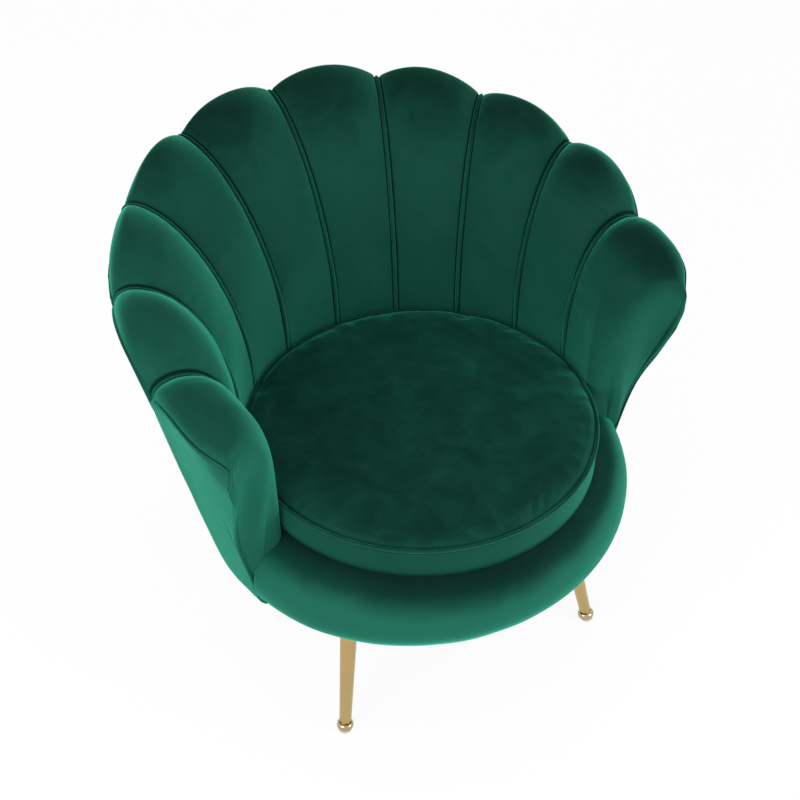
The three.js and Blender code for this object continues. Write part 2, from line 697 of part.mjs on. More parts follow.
function roundedSquare(side, corner) {
  const half = side / 2;
  const shape = new THREE.Shape();
  shape.absarc(half - corner, half - corner, corner, 0, quarterTurn, false);
  shape.absarc(corner - half, half - corner, corner, quarterTurn, 2 * quarterTurn, false);
  shape.absarc(corner - half, corner - half, corner, 2 * quarterTurn, 3 * quarterTurn, false);
  shape.absarc(half - corner, corner - half, corner, 3 * quarterTurn, 4 * quarterTurn, false);
  return shape;
}

legPlaces.forEach(({ name, side, end, spread, depth }, i) => {
  const leg = new THREE.Group();
  leg.position.set(side * spread, end * depth, 0);
  chair.add(leg);
  const splay = new THREE.Matrix4().makeShear(0, 0, 0, 0, -side * sideSplay, -end * depthSplay);
  const ballBottom = glideHeight + fit;
  const legBottom = ballBottom + ballHeight + fit;
  addMesh(`${name}_glide`, turned([
    [0, 0], [glideRadius, 0], [glideRadius, glideHeight], [0, glideHeight],
  ], legSides).applyMatrix4(splay), nylon, leg);
  addMesh(`${name}_ball_foot`, turned(ballProfile(ballBottom), legSides).applyMatrix4(splay),
    polishedGold, leg);
  addMesh(`${name}_leg`, turned(legProfile(legBottom, legTop), legSides).applyMatrix4(splay),
    brushedGold, leg);

  const mount = new THREE.Group();
  mount.position.set(studPlaces[i].x, studPlaces[i].y, 0);
  chair.add(mount);
  const plateShape = roundedSquare(plateSide, plateCorner);
  plateShape.holes = [circle(studRadius + 2 * fit)];
  const plate = new THREE.ExtrudeGeometry(plateShape, {
    depth: plateThickness, bevelEnabled: false, curveSegments: cornerSteps,
  }).translate(0, 0, plateBottom);
  addMesh(`${name}_leg_plate`, plate, steel, mount).rotation.z =
    Math.atan2(studPlaces[i].y, studPlaces[i].x);
  addMesh(`${name}_leg_stud`, turned([
    [0, legTop + fit], [studRadius, legTop + fit],
    [studRadius, baseBoardTop - fit], [0, baseBoardTop - fit],
  ], legSides / 2), steel, mount);
});

// The origin is on the floor, under the middle of the chair's overall width and depth.
const overall = new THREE.Box3().setFromObject(chair);
chair.position.y = -overall.getCenter(new THREE.Vector3()).y;
const model = new THREE.Group();
model.add(chair);

export default model;
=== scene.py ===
"""Dresses the frame of a scallop back chair in velvet, with its seams, cushion, legs and a plain studio."""
import functools
import json
import math

import bmesh
import bpy
from bpy.props import FloatProperty, FloatVectorProperty, IntProperty, PointerProperty
from bpy.types import Operator, Panel, PropertyGroup
from mathutils import Matrix, Vector, noise
from mathutils.bvhtree import BVHTree
from mathutils.kdtree import KDTree


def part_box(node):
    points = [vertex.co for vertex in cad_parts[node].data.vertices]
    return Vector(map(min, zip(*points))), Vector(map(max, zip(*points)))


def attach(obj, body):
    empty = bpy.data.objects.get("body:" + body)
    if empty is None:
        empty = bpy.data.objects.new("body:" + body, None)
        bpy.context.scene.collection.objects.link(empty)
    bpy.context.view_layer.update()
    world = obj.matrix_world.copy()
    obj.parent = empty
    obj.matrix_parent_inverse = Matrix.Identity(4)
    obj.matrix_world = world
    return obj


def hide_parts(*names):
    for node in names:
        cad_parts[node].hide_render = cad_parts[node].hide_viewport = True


bl_info = {
    "name": "Scallop back chair",
    "version": (1, 0, 0),
    "blender": (4, 5, 0),
    "location": "View3D > Sidebar > Chair",
    "description": "Dresses the frame of a velvet scallop back chair",
    "category": "Object",
}

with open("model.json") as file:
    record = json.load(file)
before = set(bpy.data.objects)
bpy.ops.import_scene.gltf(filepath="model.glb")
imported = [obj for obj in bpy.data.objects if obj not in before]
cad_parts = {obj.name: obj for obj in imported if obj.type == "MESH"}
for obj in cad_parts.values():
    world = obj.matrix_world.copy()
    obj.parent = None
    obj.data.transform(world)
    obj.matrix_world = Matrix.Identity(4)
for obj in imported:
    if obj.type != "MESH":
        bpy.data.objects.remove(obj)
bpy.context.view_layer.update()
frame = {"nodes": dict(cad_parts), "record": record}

SIDES = ("left", "right")
CHANNELS = range(1, 6)
LEGS = ("front_left", "front_right", "rear_left", "rear_right")
cushion_low, cushion_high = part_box("seat_cushion")
seat_centre = (cushion_low + cushion_high) / 2
seat_axis = Vector((seat_centre.x, seat_centre.y, 0))
cushion_radius = (cushion_high.x - cushion_low.x) / 2
# Where the photo's camera stood, and the way from what it looks at back to it.
PHOTO_PLACE = (-0.8794, -1.6179, 2.0578)
PHOTO_BACKWARD = Vector((-0.36568, -0.63571, 0.67981)).normalized()
# Corners of the CAD model's triangles that lie closer than this are one corner.
SAME_POINT = 0.00002
# Heights: where the crests begin, the top of the seat roll, and the part of an arm's post that shows.
CREST_START = 0.43
ROLL_TOP = 0.366
POST_FOOT = (0.330, 0.3645)
# Turns round the seat from the middle of the back: to the arms' sides, to where their fronts begin, to the
# ends of the strip round the deck, and to the arms' front corners.
ARM_SIDE = math.radians(90)
ARM_FRONT = math.radians(93)
WELL_END = math.radians(96)
ARM_TIP = 1.91


class VelvetSettings(PropertyGroup):
    """Colours and nap of the velvet."""

    face: FloatVectorProperty(name="Face", description="Velvet seen straight on", subtype="COLOR",
                              min=0, max=1, default=(0.0062, 0.0590, 0.0388))
    # Painted shade: the colour that upward faces are darkened to, together with the random crushed patches;
    # 0.45 of it is the painted shade in seam grooves.
    shade_crush_colour: FloatVectorProperty(name="Deep", description="Velvet whose nap lies away, on upward faces",
                              subtype="COLOR", min=0, max=1, default=(0.0022, 0.0215, 0.0143))
    bloom: FloatVectorProperty(name="Bloom", description="Light that the tips of the nap catch at an angle",
                               subtype="COLOR", min=0, max=1, default=(0.10, 0.85, 0.57))
    bloom_weight: FloatProperty(name="Bloom weight", description="Strength of the light on the nap's tips",
                                min=0, max=1, default=0.85)
    # Painted shade on the seat's upward top, together with its random crushed patches.
    seat_shade_crush_colour: FloatVectorProperty(name="Seat deep", description="Crushed patches of the seat velvet",
                                   subtype="COLOR", min=0, max=1, default=(0.0026, 0.0250, 0.0168))
    cloud: FloatProperty(name="Cloud", description="Size of the crushed patches", unit="LENGTH",
                         min=0.005, max=0.3, default=0.055)


class ShapeSettings(PropertyGroup):
    """Sizes of the sewn details."""

    welt: FloatProperty(name="Welt", description="Radius of the welt sewn into each seam", unit="LENGTH",
                        min=0.001, max=0.01, default=0.0029)
    welt_lift: FloatProperty(name="Welt lift", description="How far the welt stands out of its seam",
                             unit="LENGTH", min=-0.01, max=0.01, default=0.0018)
    groove: FloatProperty(name="Groove", description="Depth that the stitching pulls in beside a welt",
                          unit="LENGTH", min=0, max=0.006, default=0.0017)
    fold: FloatProperty(name="Fold", description="Radius of the fold along the outer cover's edge",
                        unit="LENGTH", min=0.0005, max=0.005, default=0.0015)
    unevenness: FloatProperty(name="Unevenness", description="Height of the filling's soft lumps",
                              unit="LENGTH", min=0, max=0.005, default=0.0009)
    pucker: FloatProperty(name="Pucker", description="Height of the small gathers beside the seams",
                          unit="LENGTH", min=0, max=0.004, default=0.0006)
    smoothness: IntProperty(name="Smoothness", description="Subdivision levels of the padded pieces",
                            min=1, max=4, default=3)
    swell: FloatProperty(name="Swell", description="Most that the cushion may swell", unit="LENGTH",
                         min=0, max=0.02, default=0.007)
    voxel: FloatProperty(name="Voxel", description="Size of the cushion's cloth mesh", unit="LENGTH",
                         min=0.003, max=0.01, default=0.005)


class StudioSettings(PropertyGroup):
    """Floor and lamps."""

    floor: FloatVectorProperty(name="Floor", description="Colour of the floor and the air round the chair",
                               subtype="COLOR", min=0, max=1, default=(0.50, 0.50, 0.50))
    air: FloatProperty(name="Air", description="Strength of the even light from all sides",
                       min=0, max=2, default=0.60)
    key: FloatProperty(name="Key", description="Power of the large lamp at the front left", unit="POWER",
                       min=0, max=500, default=65)
    fill: FloatProperty(name="Fill", description="Power of the large lamp at the front right", unit="POWER",
                        min=0, max=500, default=63)
    top: FloatProperty(name="Top", description="Power of the lamp overhead", unit="POWER",
                       min=0, max=500, default=10)


def velvet_settings():
    return bpy.context.scene.chair_velvet


def shape_settings():
    return bpy.context.scene.chair_shape


def studio_settings():
    return bpy.context.scene.chair_studio


def add_node(tree, kind, values=None, **settings):
    """A node with its settings, its plain socket values and its links from other nodes' outputs."""
    node = tree.nodes.new(kind)
    for name, value in settings.items():
        setattr(node, name, value)
    for socket, value in (values or {}).items():
        if isinstance(value, bpy.types.NodeSocket):
            tree.links.new(value, node.inputs[socket])
        else:
            node.inputs[socket].default_value = value
    return node


def object_place(tree):
    return add_node(tree, "ShaderNodeTexCoord").outputs["Object"]


def calculate(tree, operation, *values, clamp=False):
    """The result of a calculation on numbers and other nodes' outputs."""
    return add_node(tree, "ShaderNodeMath", dict(enumerate(values)), operation=operation,
                    use_clamp=clamp).outputs[0]


def stretch(tree, value, start, end, low=0.0, high=1.0, **settings):
    """The value with its range from start to end stretched to run from low to high."""
    return add_node(tree, "ShaderNodeMapRange", {0: value, 1: start, 2: end, 3: low, 4: high},
                    **settings).outputs[0]


def speckle(tree, where, scale, **values):
    """Noise at a place, with further values under the noise node's own names."""
    return add_node(tree, "ShaderNodeTexNoise", {"Vector": where, "Scale": scale, **values}).outputs["Fac"]


def blend(tree, share, first, second):
    """The colour that lies a share of the way from the first to the second."""
    sockets = {0: share}
    for socket, colour in ((6, first), (7, second)):
        sockets[socket] = colour if isinstance(colour, bpy.types.NodeSocket) else rgba(colour)
    return add_node(tree, "ShaderNodeMix", sockets, data_type="RGBA").outputs[2]


def raised(tree, height, strength, distance):
    """The normal of a surface with small bumps."""
    return add_node(tree, "ShaderNodeBump", {"Strength": strength, "Distance": distance,
                                             "Height": height}).outputs[0]


def blank_material(name):
    """A new material with an empty node tree, or the finished one of that name without its tree."""
    material = bpy.data.materials.get(name)
    if material:
        return material, None
    material = bpy.data.materials.new(name)
    material.use_nodes = True
    material.node_tree.nodes.clear()
    return material, material.node_tree


def surface(tree, shader):
    tree.links.new(shader.outputs[0], add_node(tree, "ShaderNodeOutputMaterial").inputs["Surface"])


def principled(tree, values):
    surface(tree, add_node(tree, "ShaderNodeBsdfPrincipled", values))


def rgba(colour):
    return (*colour, 1.0)


def effect(name, inputs, outputs):
    """An empty shader node group with named number inputs, which have defaults, and number outputs."""
    tree = bpy.data.node_groups.new(name, "ShaderNodeTree")
    for socket, value in inputs.items():
        made = tree.interface.new_socket(name=socket, in_out="INPUT", socket_type="NodeSocketFloat")
        made.default_value = value
    for socket in outputs:
        tree.interface.new_socket(name=socket, in_out="OUTPUT", socket_type="NodeSocketFloat")
    return tree, tree.nodes.new("NodeGroupInput").outputs, tree.nodes.new("NodeGroupOutput").inputs


def give_out(tree, wanted, **values):
    """Links the results of an effect to its outputs."""
    for socket, value in values.items():
        tree.links.new(value, wanted[socket])
    return tree


def place_effect(tree, name, values):
    """The outputs of an effect's node group, which is built the first time that it is placed."""
    group = bpy.data.node_groups.get(name) or EFFECTS[name](name)
    return add_node(tree, "ShaderNodeGroup", values, node_tree=group).outputs


def nap_effect(name):
    """Velvet nap: a mask of painted shade on upward faces mixed with random crushed patches, a mask of
    painted light on faces turned down or sideways and towards -X, its roughness and its height.
    """
    tree, given, wanted = effect(name, {"Cloud Scale": 18.0, "Crush": 0.5, "Top": 0.6, "Side": 0.36},
                                 ("Deep", "Pale", "Rough", "Height"))
    where = object_place(tree)
    normal = add_node(tree, "ShaderNodeNewGeometry").outputs["Normal"]
    facing = add_node(tree, "ShaderNodeSeparateXYZ", {"Vector": normal}).outputs
    # Faces turned towards +X count as less upward, so they get less painted shade and more painted light.
    x_facing_light = calculate(tree, "MAXIMUM", facing["X"], 0.0)
    upward = calculate(tree, "MULTIPLY_ADD", x_facing_light, -0.6, facing["Z"])
    clouds = speckle(tree, where, given["Cloud Scale"], Detail=4.0, Roughness=0.55, Distortion=0.8)
    crushed = calculate(tree, "MULTIPLY", calculate(tree, "SUBTRACT", clouds, 0.5), given["Crush"])
    across = add_node(tree, "ShaderNodeSeparateXYZ", {"Vector": where}).outputs["X"]
    # Painted light: the velvet grows paler towards -X, on one side of the chair.
    side_light = stretch(tree, across, -0.16, -0.38, 0.0, -0.48)
    # The sum sets the painted shade where it is high and the painted light where it is low, with random
    # crushed patches.
    lean = calculate(tree, "ADD", calculate(tree, "ADD", upward, side_light), crushed)
    low = calculate(tree, "SUBTRACT", given["Top"], 0.30)
    high = calculate(tree, "ADD", given["Top"], 0.25)
    under = calculate(tree, "SUBTRACT", given["Side"], 0.56)
    pile = speckle(tree, where, 900.0, Detail=2.0)
    creased = speckle(tree, where, 70.0, Detail=3.0, Distortion=0.5)
    return give_out(
        tree, wanted, Deep=stretch(tree, lean, low, high, interpolation_type="SMOOTHSTEP"),
        Pale=stretch(tree, lean, given["Side"], under, interpolation_type="SMOOTHSTEP"),
        Rough=stretch(tree, clouds, 0.3, 0.7, 0.62, 0.82),
        Height=calculate(tree, "MULTIPLY_ADD", creased, 0.6, pile))


def grain_effect(name):
    """Fine streaks along the upright axis, as brushing leaves: a mask and a height."""
    tree, given, wanted = effect(name, {"Scale": 260.0, "Stretch": 0.03}, ("Mask", "Height"))
    where = object_place(tree)
    longer = add_node(tree, "ShaderNodeCombineXYZ", {"X": 1.0, "Y": 1.0, "Z": given["Stretch"]}).outputs[0]
    along = add_node(tree, "ShaderNodeMapping", {"Vector": where, "Scale": longer}).outputs[0]
    streaks = speckle(tree, along, given["Scale"], Detail=5.0, Roughness=0.65)
    smudge = speckle(tree, where, 22.0, Detail=3.0)
    mask = calculate(tree, "MULTIPLY_ADD", streaks, 0.7, smudge)
    return give_out(tree, wanted, Mask=calculate(tree, "SUBTRACT", mask, 0.35), Height=streaks)


def weave_effect(name):
    """Threads crossing at right angles: a mask of the raised threads, and a height."""
    tree, given, wanted = effect(name, {"Thread": 900.0}, ("Mask", "Height"))
    where = object_place(tree)
    uneven = add_node(tree, "ShaderNodeTexNoise", {"Vector": where, "Scale": 60.0}).outputs["Color"]
    shaken = add_node(tree, "ShaderNodeVectorMath", {0: uneven, "Scale": 0.002}, operation="SCALE").outputs[0]
    moved = add_node(tree, "ShaderNodeVectorMath", {0: where, 1: shaken}, operation="ADD").outputs[0]
    warp, weft = (add_node(tree, "ShaderNodeTexWave", {"Vector": moved, "Scale": given["Thread"]},
                           bands_direction=way).outputs["Fac"] for way in "XY")
    crossed = calculate(tree, "MULTIPLY", warp, weft)
    return give_out(tree, wanted, Mask=crossed, Height=crossed)


EFFECTS = {"Velvet nap": nap_effect, "Brushed grain": grain_effect, "Weave": weave_effect}


def velvet(name, shade_crush_colour, crush, top, side, painted_light_gain):
    """Velvet with painted shade on upward faces, in seam grooves and where parts meet, painted light on faces
    turned down or sideways, random crushed patches, and a sheen that catches light at an angle.
    """
    material, tree = blank_material(name)
    if tree is None:
        return material
    look = velvet_settings()
    nap = place_effect(tree, "Velvet nap",
                       {"Cloud Scale": 1 / look.cloud, "Crush": crush, "Top": top, "Side": side})
    shaded = blend(tree, nap["Deep"], look.face, shade_crush_colour)
    # Painted light: faces turned down or sideways lighten towards a paler copy of the face colour.
    painted_lit = blend(tree, nap["Pale"], shaded, [min(1, painted_light_gain * part) for part in look.face])
    # Painted shade from the mesh attribute: the base colour darkens and the sheen weakens in seam grooves and
    # where parts meet.
    seam_shade = add_node(tree, "ShaderNodeAttribute", attribute_name="seam").outputs["Fac"]
    sewn = blend(tree, seam_shade, painted_lit, [0.45 * part for part in shade_crush_colour])
    grazing = add_node(tree, "ShaderNodeLayerWeight", {"Blend": 0.5}).outputs["Facing"]
    caught = stretch(tree, grazing, 0.25, 0.75, 0.12 * look.bloom_weight, look.bloom_weight)
    bloom = calculate(tree, "SUBTRACT", caught, seam_shade, clamp=True)
    principled(tree, {
        "Base Color": sewn, "Roughness": nap["Rough"], "Specular IOR Level": 0.03, "Sheen Weight": bloom,
        "Sheen Roughness": 0.42, "Sheen Tint": rgba(look.bloom),
        "Normal": raised(tree, nap["Height"], 0.35, 0.0006)})
    return material


def metal(name, colour, worn, rough, scale, stretched, bump=0.1):
    """Plated metal with a grain in its tint, its roughness and its surface."""
    material, tree = blank_material(name)
    if tree is None:
        return material
    grain = place_effect(tree, "Brushed grain", {"Scale": scale, "Stretch": stretched})
    principled(tree, {
        "Base Color": blend(tree, grain["Mask"], colour, worn), "Metallic": 1.0,
        "Roughness": stretch(tree, grain["Mask"], 0.2, 0.8, rough * 0.85, rough * 1.2),
        "Normal": raised(tree, grain["Height"], bump, 0.0003)})
    return material


def woven(name, colour, thread_colour, thread, rough=0.85):
    material, tree = blank_material(name)
    if tree is None:
        return material
    weave = place_effect(tree, "Weave", {"Thread": thread})
    principled(tree, {
        "Base Color": blend(tree, weave["Mask"], colour, thread_colour), "Roughness": rough,
        "Specular IOR Level": 0.2, "Normal": raised(tree, weave["Height"], 0.5, 0.0006)})
    return material


def birch_plywood():
    """Sanded birch plywood: long figure on its faces and darker glue lines between its layers."""
    material, tree = blank_material("birch_plywood")
    if tree is None:
        return material
    where = object_place(tree)
    along = add_node(tree, "ShaderNodeMapping", {"Vector": where, "Scale": (1.0, 0.12, 1.0)}).outputs[0]
    figure = speckle(tree, along, 90.0, Detail=6.0, Distortion=1.2)
    layers = add_node(tree, "ShaderNodeTexWave", {"Vector": where, "Scale": 210.0, "Distortion": 0.4},
                      bands_direction="Z").outputs["Fac"]
    light = blend(tree, figure, (0.46, 0.29, 0.13), (0.68, 0.47, 0.25))
    glued = stretch(tree, layers, 0.0, 0.25, 0.45, 0.0)
    principled(tree, {
        "Base Color": blend(tree, glued, light, (0.24, 0.13, 0.05)), "Roughness": 0.6,
        "Specular IOR Level": 0.3, "Normal": raised(tree, figure, 0.25, 0.0004)})
    return material


def moulded_nylon():
    material, tree = blank_material("moulded_nylon")
    if tree is None:
        return material
    scuffs = speckle(tree, object_place(tree), 320.0, Detail=5.0)
    principled(tree, {
        "Base Color": blend(tree, scuffs, (0.60, 0.58, 0.52), (0.74, 0.72, 0.66)), "Roughness": 0.5,
        "Normal": raised(tree, scuffs, 0.2, 0.0003)})
    return material


def back_velvet():
    return velvet("emerald_velvet", velvet_settings().shade_crush_colour, 0.35, 0.74, 0.36, 1.6)


def roll_velvet():
    # The same velvet with less painted shade and more painted light, so the roll renders lighter.
    return velvet("emerald_roll_velvet_lit", velvet_settings().shade_crush_colour, 0.30, 0.92, 0.72, 2.2)


def seat_velvet():
    # Painted shade on the seat's upward top, with random crushed patches.
    return velvet("crushed_shaded_seat_velvet", velvet_settings().seat_shade_crush_colour, 0.6, 0.92, 0.30, 1.15)


def brushed_gold():
    return metal("satin_gold_plate", (0.46, 0.33, 0.135), (0.52, 0.38, 0.17), 0.30, 420.0, 0.02)


def polished_gold():
    return metal("polished_champagne_gold", (0.39, 0.31, 0.16), (0.51, 0.41, 0.24), 0.10, 120.0, 1.0, 0.03)


def zinc_steel():
    return metal("zinc_plated_steel", (0.39, 0.40, 0.38), (0.50, 0.50, 0.47), 0.38, 200.0, 0.4)


def merged_copy(node):
    """The CAD node's mesh with its loose triangles joined up, ready to be shaped."""
    bm = bmesh.new()
    bm.from_mesh(frame["nodes"][node].data)
    bm.edges.layers.float.new("crease_edge")
    bmesh.ops.remove_doubles(bm, verts=bm.verts, dist=SAME_POINT)
    bmesh.ops.recalc_face_normals(bm, faces=bm.faces)
    return bm


def seam_caps(bm):
    """The flat ends of a swept piece, which lie in upright planes through the seat's axis."""
    bm.normal_update()
    flat = []
    for face in bm.faces:
        reach = face.calc_center_median() - seat_axis
        if abs(face.normal.z) < 0.02 and abs(face.normal.dot(reach)) < 0.0015:
            flat.append(face)
    return flat


def cap_rims(bm, caps):
    ends = set(caps)
    return [edge for edge in bm.edges if len({face in ends for face in edge.link_faces}) == 2]


def join_quads(bm, kept):
    fixed = set(kept)
    bmesh.ops.join_triangles(
        bm, faces=[face for face in bm.faces if face not in fixed], cmp_seam=False, cmp_sharp=False,
        cmp_uvs=False, cmp_vcols=False, cmp_materials=False, angle_face_threshold=math.radians(50),
        angle_shape_threshold=math.radians(75))


def crease(bm, edges, amount=1.0):
    layer = bm.edges.layers.float["crease_edge"]
    for edge in edges:
        edge[layer] = amount


def evaluated_mesh(piece):
    depsgraph = bpy.context.evaluated_depsgraph_get()
    return bpy.data.meshes.new_from_object(piece.evaluated_get(depsgraph), depsgraph=depsgraph)


def link_piece(name, mesh):
    piece = bpy.data.objects.new(name, mesh)
    bpy.context.scene.collection.objects.link(piece)
    return piece


def apply_modifiers(piece):
    """Bakes the piece's modifiers into its mesh."""
    made = evaluated_mesh(piece)
    piece.modifiers.clear()
    old, piece.data = piece.data, made
    made.name = piece.name
    bpy.data.meshes.remove(old)
    return piece


def add_rounding(piece, levels):
    rounding = piece.modifiers.new("Rounding", "SUBSURF")
    rounding.levels = rounding.render_levels = levels


def smooth_over(name, bm, levels):
    """Subdivides the cage so that the smooth surface still passes through the cage's own points."""
    piece = bm_piece(name, bm)
    mesh = piece.data
    goal = [vertex.co.copy() for vertex in mesh.vertices]
    add_rounding(piece, levels)
    for _ in range(3):
        soft = evaluated_mesh(piece)
        for index, point in enumerate(goal):
            mesh.vertices[index].co += point - soft.vertices[index].co
        bpy.data.meshes.remove(soft)
        mesh.update()
    return apply_modifiers(piece)


def finish_piece(piece, body, slot, material, *nodes):
    """Gives a piece its material, its smooth shading and its body, and hides the nodes that it stands for."""
    piece.data.materials.clear()
    piece.data.materials.append(material)
    piece.data.shade_smooth()
    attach(piece, body)
    if nodes:
        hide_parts(*nodes)


def bm_piece(name, bm):
    mesh = bpy.data.meshes.new(name)
    bm.to_mesh(mesh)
    bm.free()
    return link_piece(name, mesh)


def spun(profile, steps, centre=Vector((0, 0, 0))):
    """A closed shape turned round the upright axis through centre, from (radius, height) points."""
    bm = bmesh.new()
    corners = [bm.verts.new((centre.x + radius, centre.y, height)) for radius, height in profile]
    line = [bm.edges.new(pair) for pair in zip(corners, corners[1:])]
    if profile[0][0] > 0:
        line.append(bm.edges.new((corners[-1], corners[0])))
    bmesh.ops.spin(bm, geom=corners + line, cent=(centre.x, centre.y, 0), axis=(0, 0, 1), dvec=(0, 0, 0),
                   angle=math.tau, steps=steps, use_merge=True)
    bmesh.ops.remove_doubles(bm, verts=bm.verts, dist=0.000005)
    bmesh.ops.recalc_face_normals(bm, faces=bm.faces)
    return bm


def lumps(point, size, seed=0.0):
    return noise.noise(Vector((point.x / size + seed, point.y / size, point.z / size - seed)))


def seam_angle(point):
    reach = point - seat_axis
    return math.atan2(reach.x, reach.y)


def smoothstep(low, high, value):
    share = min(1.0, max(0.0, (value - low) / (high - low)))
    return share * share * (3 - 2 * share)


def bell(value, middle, width):
    return math.exp(-((value - middle) / width) ** 2)


def radius_of(point):
    return math.hypot(point.x - seat_axis.x, point.y - seat_axis.y)


def outward(point):
    return (Vector((point.x, point.y, 0)) - seat_axis).normalized()


def off_seam(point, seams):
    """How far a point lies from the nearest of the seams, round the seat."""
    return min(abs(seam_angle(point) - seam) for seam in seams) * radius_of(point)


def move_points(piece, moves):
    for vertex, move in zip(piece.data.vertices, moves):
        vertex.co += move
    piece.data.update()


def mark_painted_shade(piece, shade_marks):
    """Keeps for the velvet the painted shade at each point: in seam grooves, partly standing for the nap
    parting there, and where parts meet.
    """
    marks = piece.data.attributes.get("seam") or piece.data.attributes.new("seam", "FLOAT", "POINT")
    for item, share in zip(marks.data, shade_marks):
        item.value = min(1.0, share)


def plump(piece, seams, free=1.0):
    """Soft lumps of the filling, grooves and small gathers beside the sewn seams, and painted shade marked in
    those grooves.
    """
    form = shape_settings()
    moves, shade_marks = [], []
    for vertex in piece.data.vertices:
        point = vertex.co
        lift = form.unevenness * free * lumps(point, 0.06, 3.1)
        sewn = 0.0
        if seams:
            off = off_seam(point, seams)
            along = Vector((point.z, radius_of(point), seams[0] * 9))
            # sewn sets the groove's depth and the painted shade in it.
            sewn = bell(off, form.welt * 1.15, 0.0014)
            lift += form.pucker * bell(off, 0.012, 0.010) * lumps(along, 0.011, 7.7)
            lift -= form.groove * sewn
        moves.append(vertex.normal * lift)
        shade_marks.append(sewn)
    move_points(piece, moves)
    mark_painted_shade(piece, shade_marks)


def soften(piece, chosen, rounds):
    """Evens out the chosen points of a piece, a little in each round."""
    bm = bmesh.new()
    bm.from_mesh(piece.data)
    verts = [vertex for vertex in bm.verts if chosen(vertex.co)]
    for _ in range(rounds):
        bmesh.ops.smooth_vert(bm, verts=verts, factor=0.5, use_axis_x=True, use_axis_y=True, use_axis_z=True)
    bm.to_mesh(piece.data)
    bm.free()


def cap_seams(caps):
    """The seam angles at which a swept piece ends."""
    found = []
    for face in caps:
        angle = seam_angle(face.calc_center_median())
        if all(abs(angle - other) > 0.05 for other in found):
            found.append(angle)
    return found


def ordered_path(edges):
    """The points of a chain of edges in order, from its lowest open end if it has one."""
    count = {}
    for edge in edges:
        for vertex in edge.verts:
            count[vertex] = count.get(vertex, 0) + 1
    ends = [vertex for vertex in count if count[vertex] == 1] or list(count)
    path = [min(ends, key=lambda vertex: (round(vertex.co.z, 4), vertex.co.x))]
    left = set(edges)
    while left:
        following = next((edge for edge in path[-1].link_edges if edge in left), None)
        if following is None:
            break
        left.remove(following)
        path.append(following.other_vert(path[-1]))
    if path[0] == path[-1]:
        path.pop()
    return [vertex.co.copy() for vertex in path]


@functools.cache
def arm_corners():
    """Each arm's widest point and upper front corner, with how far round it and how much to ease it."""
    corners = []
    for side in SIDES:
        points = [vertex.co.copy() for vertex in frame["nodes"][f"channel_pad_{side}_5"].data.vertices]
        front = [point for point in points if abs(seam_angle(point)) > ARM_TIP]
        corners.append((max(points, key=lambda point: abs(point.x)), 0.034, 0.002))
        corners.append((max(front, key=radius_of), 0.026, 0.011))
    return corners


def ease_corners(piece):
    """Rounds off the arms' corners, by the same moves in each piece that meets there."""
    for vertex in piece.data.vertices:
        for corner, reach, pull in arm_corners():
            share = bell((vertex.co - corner).length, 0, reach)
            vertex.co.x -= math.copysign(pull, corner.x) * share
            vertex.co.z -= 0.3 * pull * share
    piece.data.update()


def front_path(points):
    """The part of a seam's outline that shows: from the foot, up the front and over to the outer edge."""
    lowest = min(point.z for point in points)
    foot = min((index for index, point in enumerate(points) if point.z < lowest + 0.001),
               key=lambda index: radius_of(points[index]))
    turned = points[foot:] + points[:foot]
    if turned[1].z < turned[-1].z:
        turned = [turned[0]] + turned[:0:-1]
    outermost = max(range(len(turned)), key=lambda index: (radius_of(turned[index]), turned[index].z))
    return turned[:outermost + 1]


def tube_piece(name, points, radii, sides=4, round_steps=6):
    """A smooth round strand through the points, with a radius at each."""
    curve = bpy.data.curves.new(name, "CURVE")
    curve.dimensions = "3D"
    curve.bevel_depth = 1.0
    curve.bevel_resolution = sides
    curve.resolution_u = round_steps
    curve.use_fill_caps = True
    strand = curve.splines.new("BEZIER")
    strand.bezier_points.add(len(points) - 1)
    for knot, point, radius in zip(strand.bezier_points, points, radii):
        knot.co = point
        knot.radius = radius
        knot.handle_left_type = knot.handle_right_type = "AUTO"
    drawn = link_piece(name + "_curve", curve)
    mesh = evaluated_mesh(drawn)
    bpy.data.objects.remove(drawn)
    bpy.data.curves.remove(curve)
    bm = bmesh.new()
    bm.from_mesh(mesh)
    bpy.data.meshes.remove(mesh)
    bmesh.ops.remove_doubles(bm, verts=bm.verts, dist=0.00001)
    bmesh.ops.recalc_face_normals(bm, faces=bm.faces)
    return bm_piece(name, bm)


